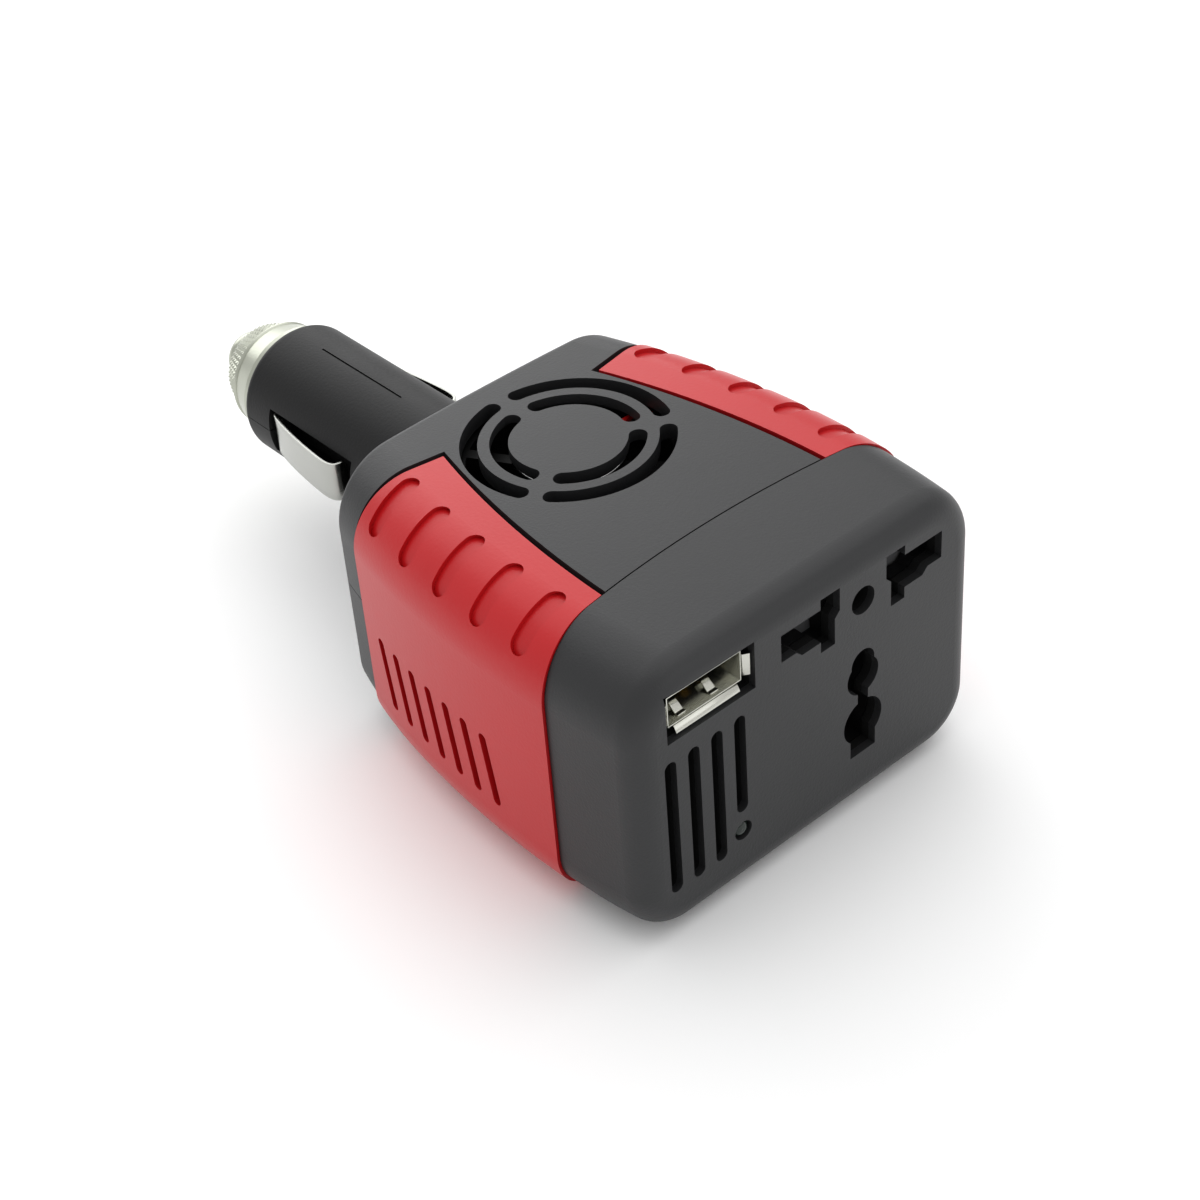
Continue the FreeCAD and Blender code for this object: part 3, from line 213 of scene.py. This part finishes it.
# ---------------------------------------------------------------- mains outlet
# A black moulded block behind the front cover with phosphor bronze contacts, and a sprung grey
# shutter whose sloped cams close both pin slots until a plug's pins push it down.
socket_black = grain(finish_of("socket_black", (0.008, 0.008, 0.009), 0.50),
                     pitch=0.0004, depth=0.00002, tone=0.12, shine=0.05)
dress(socket_black, "outlet_block", "usb_tongue")
shutter_grey = grain(finish_of("shutter_grey", (0.17, 0.17, 0.175), 0.30),
                     pitch=0.0004, depth=0.00002, tone=0.10, shine=0.05)
dress(shutter_grey, "safety_shutter")
contact_bronze = grain(finish_of("contact_bronze", (0.75, 0.55, 0.28), 0.26, Metallic=1.0),
                       pitch=0.0003, depth=0.00001, stretch=(1, 8, 1), tone=0.12, shine=0.08)
dress(contact_bronze, "live_contact", "neutral_contact", "earth_contact", "rear_contact")
spring_wire = grain(finish_of("spring_wire", (0.55, 0.54, 0.52), 0.30, Metallic=1.0),
                    pitch=0.0002, depth=0.00001, tone=0.15, shine=0.08)
dress(spring_wire, "shutter_springs", "tip_spring", "fan_shaft", "fuse_wire")

# ---------------------------------------------------------------- USB port
# A nickel-plated steel can, folded up from sheet, with its four front edges flared outwards and two
# springs stamped out of its floor, round a black tongue with four gold contacts.
nickel_plate = grain(finish_of("nickel_plate", (0.60, 0.60, 0.55), 0.22, Metallic=1.0),
                     pitch=0.0012, depth=0.000004, stretch=(1, 3, 1), tone=0.10, shine=0.06)
gold_plate = grain(finish_of("gold_plate", (0.95, 0.70, 0.30), 0.2, Metallic=1.0),
                   pitch=0.0003, depth=0.00001, stretch=(6, 1, 1), tone=0.10, shine=0.05)
dress(gold_plate, "usb_contacts")


def select_by(mesh_object, wanted, kind="FACE"):
    """In edit mode, select only the faces, edges or corners that wanted() picks."""
    bpy.ops.mesh.select_mode(type=kind)
    bpy.ops.mesh.select_all(action="DESELECT")
    shape = bmesh.from_edit_mesh(mesh_object.data)
    for item in {"FACE": shape.faces, "EDGE": shape.edges, "VERT": shape.verts}[kind]:
        if wanted(item):
            item.select_set(True)
    shape.select_flush_mode()
    bmesh.update_edit_mesh(mesh_object.data)


def apply_modifier(piece, name, kind, **settings):
    """Add a modifier to a piece and apply it at once."""
    bpy.ops.object.select_all(action="DESELECT")
    bpy.context.view_layer.objects.active = piece
    piece.select_set(True)
    modifier = piece.modifiers.new(name, kind)
    for setting, value in settings.items():
        setattr(modifier, setting, value)
    bpy.ops.object.modifier_apply(modifier=modifier.name)


def complete(piece, name, finish, body, replaced=(), smooth=35):
    """Settle a new piece: its place in its mesh, its name, shading, finish and body, and hide the pieces
    it replaces.
    """
    bpy.ops.object.select_all(action="DESELECT")
    bpy.context.view_layer.objects.active = piece
    piece.select_set(True)
    bpy.ops.object.transform_apply(location=True, rotation=True, scale=True)
    bpy.ops.object.shade_smooth_by_angle(angle=math.radians(smooth))
    piece.name = name
    piece.data.materials.clear()
    piece.data.materials.append(finish)
    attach(piece, body)
    if replaced:
        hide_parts(*replaced)
    bpy.ops.object.select_all(action="DESELECT")


USB_MIDDLE = (-0.01745, -0.0537, 0.0361)
USB_HALF = (0.0062, 0.0069, 0.00240)
bpy.ops.mesh.primitive_cube_add(size=2, location=USB_MIDDLE)
usb_can = bpy.context.object
usb_can.scale = USB_HALF
bpy.ops.object.mode_set(mode="EDIT")
select_by(usb_can, lambda face: face.normal.y < -0.5)
bpy.ops.mesh.delete(type="ONLY_FACE")
# Flared lips: each front edge is drawn forward, shortened at its ends and folded outwards.
for across, up in ((0, 1), (0, -1), (1, 0), (-1, 0)):
    select_by(usb_can, lambda edge: edge.is_boundary
              and abs(sum(v.co.x for v in edge.verts) / 2 - across) < 0.01
              and abs(sum(v.co.z for v in edge.verts) / 2 - up) < 0.01
              and all(abs(v.co.y + 1) < 0.01 for v in edge.verts), "EDGE")
    bpy.ops.mesh.duplicate()
    bpy.ops.transform.resize(value=(0.86 if up else 1, 1, 0.70 if across else 1))
    bpy.ops.mesh.extrude_edges_move(TRANSFORM_OT_translate={
        "value": (across * 0.00010, -0.00015, up * 0.00010)})
    bpy.ops.mesh.extrude_edges_move(TRANSFORM_OT_translate={
        "value": (across * 0.00080, -0.00045, up * 0.00080)})
bpy.ops.object.mode_set(mode="OBJECT")
bpy.ops.object.transform_apply(location=True, rotation=True, scale=True)
apply_modifier(usb_can, "sheet", "SOLIDIFY", thickness=0.0003, offset=-1)
apply_modifier(usb_can, "edge", "BEVEL", width=0.00008, segments=2, limit_method="ANGLE")
complete(usb_can, "usb_can", nickel_plate, "casing", ("usb_shell",))

# The two floor springs: narrow tabs that rise into the mouth and dip again at their ends.
for k, aside in enumerate((-0.0033, 0.0021)):
    bpy.ops.mesh.primitive_plane_add(size=1, location=(USB_MIDDLE[0] + aside, -0.0598, 0.03405))
    tab = bpy.context.object
    tab.scale = (0.0014, 0.0006, 1)
    bpy.ops.object.transform_apply(location=True, rotation=True, scale=True)
    bpy.ops.object.mode_set(mode="EDIT")
    back_edge = -0.0595
    select_by(tab, lambda edge: all(v.co.y > back_edge - 0.0001 for v in edge.verts), "EDGE")
    for back, rise, narrow in ((0.0010, 0.0009, 0.95), (0.0004, 0.0001, 0.9), (0.0008, -0.0006, 0.85)):
        bpy.ops.mesh.extrude_edges_move(TRANSFORM_OT_translate={"value": (0, back, rise)})
        bpy.ops.transform.resize(value=(narrow, 1, 1))
    bpy.ops.object.mode_set(mode="OBJECT")
    apply_modifier(tab, "sheet", "SOLIDIFY", thickness=0.00025, offset=0)
    apply_modifier(tab, "round", "BEVEL", width=0.0001, segments=2, limit_method="ANGLE")
    apply_modifier(tab, "soft", "SUBSURF", levels=2, render_levels=2)
    complete(tab, "usb_spring_%d" % (k + 1), nickel_plate, "casing")

# ---------------------------------------------------------------- indicator lamp
# A 3 mm light-emitting diode, unlit, in cloudy green-grey resin, pushed into a hole in the cover.
lamp_resin = grain(finish_of("lamp_resin", (0.012, 0.020, 0.016), 0.15, Specular_IOR_Level=0.5,
                             Coat_Weight=0.3), pitch=0.0008, depth=0.00001, tone=0.10)
dress(lamp_resin, "indicator_lamp")

# ---------------------------------------------------------------- circuit board and its parts
# Glass-fibre laminate with green solder mask over copper tracks, carrying the transformer, capacitors,
# transistors on their heat sinks, a choke and the controller chip.
board_green = finish_of("board_green", (0.012, 0.10, 0.035), 0.28, Coat_Weight=0.4)


def add_tracks(material, track_colour, pitch, share):
    """Copper tracks seen through the mask: bands of a stepped, rectangular pattern."""
    tree = material.node_tree
    surface = tree.nodes["Principled BSDF"]
    place = tree.nodes.new("ShaderNodeTexCoord")
    cells = tree.nodes.new("ShaderNodeTexVoronoi")
    cells.distance = "CHEBYCHEV"
    cells.inputs["Scale"].default_value = 1 / pitch
    tree.links.new(place.outputs["Object"], cells.inputs["Vector"])
    step = tree.nodes.new("ShaderNodeValToRGB")
    step.color_ramp.interpolation = "CONSTANT"
    step.color_ramp.elements[0].color = surface.inputs["Base Color"].default_value
    step.color_ramp.elements[1].position = 1 - share
    step.color_ramp.elements[1].color = (*track_colour, 1)
    tree.links.new(cells.outputs["Distance"], step.inputs["Fac"])
    tree.links.new(step.outputs["Color"], surface.inputs["Base Color"])
    bump = tree.nodes.new("ShaderNodeBump")
    bump.inputs["Distance"].default_value = 0.00003
    tree.links.new(cells.outputs["Distance"], bump.inputs["Height"])
    tree.links.new(bump.outputs["Normal"], surface.inputs["Normal"])
    return material


dress(add_tracks(board_green, (0.02, 0.17, 0.06), 0.004, 0.55), "circuit_board", "usb_board")
chip_epoxy = grain(finish_of("chip_epoxy", (0.022, 0.022, 0.023), 0.55), pitch=0.0002,
                   depth=0.00003, tone=0.15)
dress(chip_epoxy, "controller_chip", "usb_regulator", "power_transistors", "transformer_base")
tinned = grain(finish_of("tinned", (0.70, 0.70, 0.70), 0.30, Metallic=1.0), pitch=0.0003,
               depth=0.00002, tone=0.12, shine=0.08)
dress(tinned, "chip_legs", "ground_strap")
ferrite_grey = grain(finish_of("ferrite_grey", (0.055, 0.055, 0.058), 0.62), pitch=0.0003,
                     depth=0.00006, tone=0.2, shine=0.08)
dress(ferrite_grey, "transformer_core", "choke_core")
sink_aluminium = grain(finish_of("sink_aluminium", (0.72, 0.73, 0.74), 0.34, Metallic=1.0),
                       pitch=0.0003, depth=0.00002, stretch=(1, 1, 0.06), tone=0.10, shine=0.08)
dress(sink_aluminium, "heat_sinks")
sleeve_blue = grain(finish_of("sleeve_blue", (0.015, 0.035, 0.13), 0.26, Coat_Weight=0.3),
                    pitch=0.0010, depth=0.00003, tone=0.15, shine=0.05)
dress(sleeve_blue, "input_capacitors", "output_capacitor")


def wind(material, pitch, depth, axis):
    """Turns of wire side by side: rounded ridges across an axis, with painted shade that darkens the
    colour in the grooves between the turns.
    """
    tree = material.node_tree
    surface = tree.nodes["Principled BSDF"]
    place = tree.nodes.new("ShaderNodeTexCoord")
    turns = tree.nodes.new("ShaderNodeTexWave")
    turns.bands_direction = axis
    turns.inputs["Scale"].default_value = 0.314 / pitch
    turns.inputs["Distortion"].default_value = 0.4
    tree.links.new(place.outputs["Object"], turns.inputs["Vector"])
    bump = tree.nodes.new("ShaderNodeBump")
    bump.inputs["Distance"].default_value = depth
    tree.links.new(turns.outputs["Fac"], bump.inputs["Height"])
    tree.links.new(bump.outputs["Normal"], surface.inputs["Normal"])
    # Painted shade: the colour is multiplied down to 0.45 in the grooves between the turns, where the
    # bump is lowest.
    shade = tree.nodes.new("ShaderNodeMapRange")
    shade.inputs["To Min"].default_value = 0.45
    tree.links.new(turns.outputs["Fac"], shade.inputs["Value"])
    tint = tree.nodes.new("ShaderNodeMix")
    tint.data_type = "RGBA"
    tint.blend_type = "MULTIPLY"
    tint.inputs["Factor"].default_value = 1
    tint.inputs["A"].default_value = surface.inputs["Base Color"].default_value
    tree.links.new(shade.outputs["Result"], tint.inputs["B"])
    tree.links.new(tint.outputs["Result"], surface.inputs["Base Color"])
    return material


dress(wind(finish_of("enamelled_copper", (0.62, 0.22, 0.07), 0.28, Metallic=1.0), 0.0005, 0.0002, "Z"),
      "transformer_winding", "fan_stator")
dress(grain(finish_of("choke_copper", (0.62, 0.22, 0.07), 0.25, Metallic=1.0), pitch=0.0004,
            depth=0.00001, tone=0.12, shine=0.06), "choke_winding")

# ---------------------------------------------------------------- fan
# A 30 mm brushless fan under the grille: black glass-filled frame and rotor, and a polished metal cap
# pressed over the motor's hub, of which only a bright arc shows.
fan_black = grain(finish_of("fan_black", (0.006, 0.006, 0.006), 0.45, Specular_IOR_Level=0.25),
                  pitch=0.0004, depth=0.00002, tone=0.12, shine=0.05)
dress(fan_black, "fan_frame", "fan_rotor")
polished_cap = grain(finish_of("polished_cap", (0.83, 0.83, 0.83), 0.12, Metallic=1.0), pitch=0.0006,
                     depth=0.00001, tone=0.05, shine=0.04)
label_low, label_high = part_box("fan_label")
bpy.ops.mesh.primitive_cylinder_add(vertices=72, radius=0.00780, depth=0.0030,
                                    location=(0, (label_low.y + label_high.y) / 2, label_high.z - 0.0001))
cap = bpy.context.object
bpy.ops.object.mode_set(mode="EDIT")
select_by(cap, lambda face: face.normal.z < -0.5)
bpy.ops.mesh.delete(type="ONLY_FACE")
select_by(cap, lambda face: face.normal.z > 0.5)
bpy.ops.mesh.inset(thickness=0.0012, depth=0)
bpy.ops.mesh.inset(thickness=0.0003, depth=-0.00012)
bpy.ops.mesh.inset(thickness=0.0030, depth=0)
bpy.ops.object.mode_set(mode="OBJECT")
apply_modifier(cap, "edge", "BEVEL", width=0.0004, segments=3, limit_method="ANGLE",
               angle_limit=math.radians(50))
apply_modifier(cap, "sheet", "SOLIDIFY", thickness=0.0002, offset=-1)
complete(cap, "motor_cap", polished_cap, "casing", ("fan_label",))

# ---------------------------------------------------------------- leads
# Stranded copper in soft PVC insulation, red and black, soldered to the board.
lead_red = grain(finish_of("lead_red", (0.55, 0.012, 0.012), 0.32, Coat_Weight=0.2), pitch=0.0006,
                 depth=0.00003, tone=0.10, shine=0.05)
dress(lead_red, "supply_lead_red", "fan_lead_red", "neutral_lead")
lead_black = grain(finish_of("lead_black", (0.02, 0.02, 0.02), 0.34, Coat_Weight=0.2), pitch=0.0006,
                   depth=0.00003, tone=0.10, shine=0.05)
dress(lead_black, "supply_lead_black", "fan_lead_black", "live_lead")

# ---------------------------------------------------------------- plug barrel
# Two moulded halves of heat-resistant black phenolic, duller than the casing, closed on each other
# along the plug's middle and clamped by the casing at the flange.
plug_black = grain(finish_of("plug_black", (0.010, 0.010, 0.0105), 0.48, Specular_IOR_Level=0.40),
                   pitch=0.00045, depth=0.00003, tone=0.12, shine=0.05)
dress(plug_black, "barrel_top", "barrel_bottom")
fuse_tube = grain(finish_of("fuse_tube", (0.93, 0.97, 0.95), 0.05, Transmission_Weight=1.0, IOR=1.5),
                  pitch=0.004, depth=0.00002)
dress(fuse_tube, "fuse_glass")

# ---------------------------------------------------------------- plug nose and tip
# The nose is turned from brass and nickel plated: a bright rim, a plain band, a raised ridge and a
# knurled cone that is gripped to unscrew it. The sprung tip pin slides through it.
nose_nickel = grain(finish_of("nose_nickel", (0.46, 0.475, 0.41), 0.30, Metallic=1.0), pitch=0.0004,
                    depth=0.00001, tone=0.12, shine=0.08)
PLUG_Z = 0.0216
NOSE_START = 0.04780
KNURLS_ROUND = 27
bpy.ops.mesh.primitive_circle_add(vertices=KNURLS_ROUND * 2, radius=0.00700, fill_type="NOTHING",
                                  location=(0, NOSE_START, PLUG_Z), rotation=(math.radians(90), 0, 0))
nose = bpy.context.object
bpy.ops.object.transform_apply(location=True, rotation=True, scale=True)
bpy.ops.object.mode_set(mode="EDIT")
bpy.ops.mesh.select_all(action="SELECT")
radius = 0.00700
for forward, wider in ((0.00002, 0.00940), (0.00012, 0.00950), (0.00075, 0.00950), (0.00012, 0.00940),
                       (0.00010, 0.00925), (0.00360, 0.00830), (0.00025, 0.00845), (0.00022, 0.00845),
                       (0.00022, 0.00800), (0.00010, 0.00775)):
    bpy.ops.mesh.extrude_edges_move(TRANSFORM_OT_translate={"value": (0, forward, 0)})
    bpy.ops.transform.resize(value=(wider / radius, 1, wider / radius))
    radius = wider
cone_start = NOSE_START + 0.00550
for forward, wider in ((0.0008, 0.00748), (0.0008, 0.00720), (0.0008, 0.00688), (0.0008, 0.00652),
                       (0.0008, 0.00612)):
    bpy.ops.mesh.extrude_edges_move(TRANSFORM_OT_translate={"value": (0, forward, 0)})
    bpy.ops.transform.resize(value=(wider / radius, 1, wider / radius))
    radius = wider
for forward, wider in ((0.00030, 0.00590), (0.00012, 0.00550), (0.0, 0.00425), (-0.0009, 0.00425)):
    bpy.ops.mesh.extrude_edges_move(TRANSFORM_OT_translate={"value": (0, forward, 0)})
    bpy.ops.transform.resize(value=(wider / radius, 1, wider / radius))
    radius = wider
bpy.ops.mesh.select_all(action="SELECT")
bpy.ops.mesh.normals_make_consistent(inside=False)
select_by(nose, lambda face: cone_start < face.calc_center_median().y < cone_start + 0.0040
          and face.normal.y > 0.1)
bpy.ops.mesh.poke(offset=0.00034)
bpy.ops.object.mode_set(mode="OBJECT")
complete(nose, "knurled_nose", nose_nickel, "casing", ("nose_cap",), smooth=30)
dress(nose_nickel, "tip_pin", "fuse_caps")

# ---------------------------------------------------------------- side contacts
# Strips of nickel-plated spring steel, bowed outwards through the slots in the barrel: hooked in at the
# nose end, and tucked in behind the slot's edge at the other.
leaf_nickel = grain(finish_of("leaf_nickel", (0.46, 0.465, 0.44), 0.26, Metallic=1.0),
                    pitch=0.0012, depth=0.000004, stretch=(1, 1, 6), tone=0.10, shine=0.06)
LEAF = [(0.0072, 0.04035), (0.0092, 0.04040), (0.0098, 0.0400), (0.01045, 0.0375), (0.01105, 0.0342),
        (0.0115, 0.0308), (0.0118, 0.0277), (0.01195, 0.0257), (0.01185, 0.0242), (0.0114, 0.0233),
        (0.0105, 0.0230), (0.0091, 0.0233)]
for side, label in ((-1, "left"), (1, "right")):
    bpy.ops.mesh.primitive_plane_add(size=1, location=(side * LEAF[0][0], LEAF[0][1], PLUG_Z),
                                     rotation=(math.radians(90), 0, 0))
    leaf = bpy.context.object
    leaf.scale = (0.0002, 0.0064, 1)
    bpy.ops.object.transform_apply(location=True, rotation=True, scale=True)
    bpy.ops.object.mode_set(mode="EDIT")
    outer_x = side * LEAF[0][0]
    select_by(leaf, lambda edge: all((v.co.x - outer_x) * side > 0.00005 for v in edge.verts), "EDGE")
    at = (LEAF[0][0] + 0.0001, LEAF[0][1])
    for out, along in LEAF[1:]:
        step = (side * (out - at[0]), along - at[1], 0)
        bpy.ops.mesh.extrude_edges_move(TRANSFORM_OT_translate={"value": step})
        at = (out, along)
    bpy.ops.mesh.select_all(action="SELECT")
    bpy.ops.mesh.normals_make_consistent(inside=False)
    bpy.ops.object.mode_set(mode="OBJECT")
    apply_modifier(leaf, "curve", "SUBSURF", levels=2, render_levels=2)
    apply_modifier(leaf, "sheet", "SOLIDIFY", thickness=0.00045, offset=0)
    apply_modifier(leaf, "edge", "BEVEL", width=0.00012, segments=2, limit_method="ANGLE",
                   angle_limit=math.radians(50))
    complete(leaf, label + "_contact_leaf", leaf_nickel, label + "_contact",
             (label + "_contact_spring",))
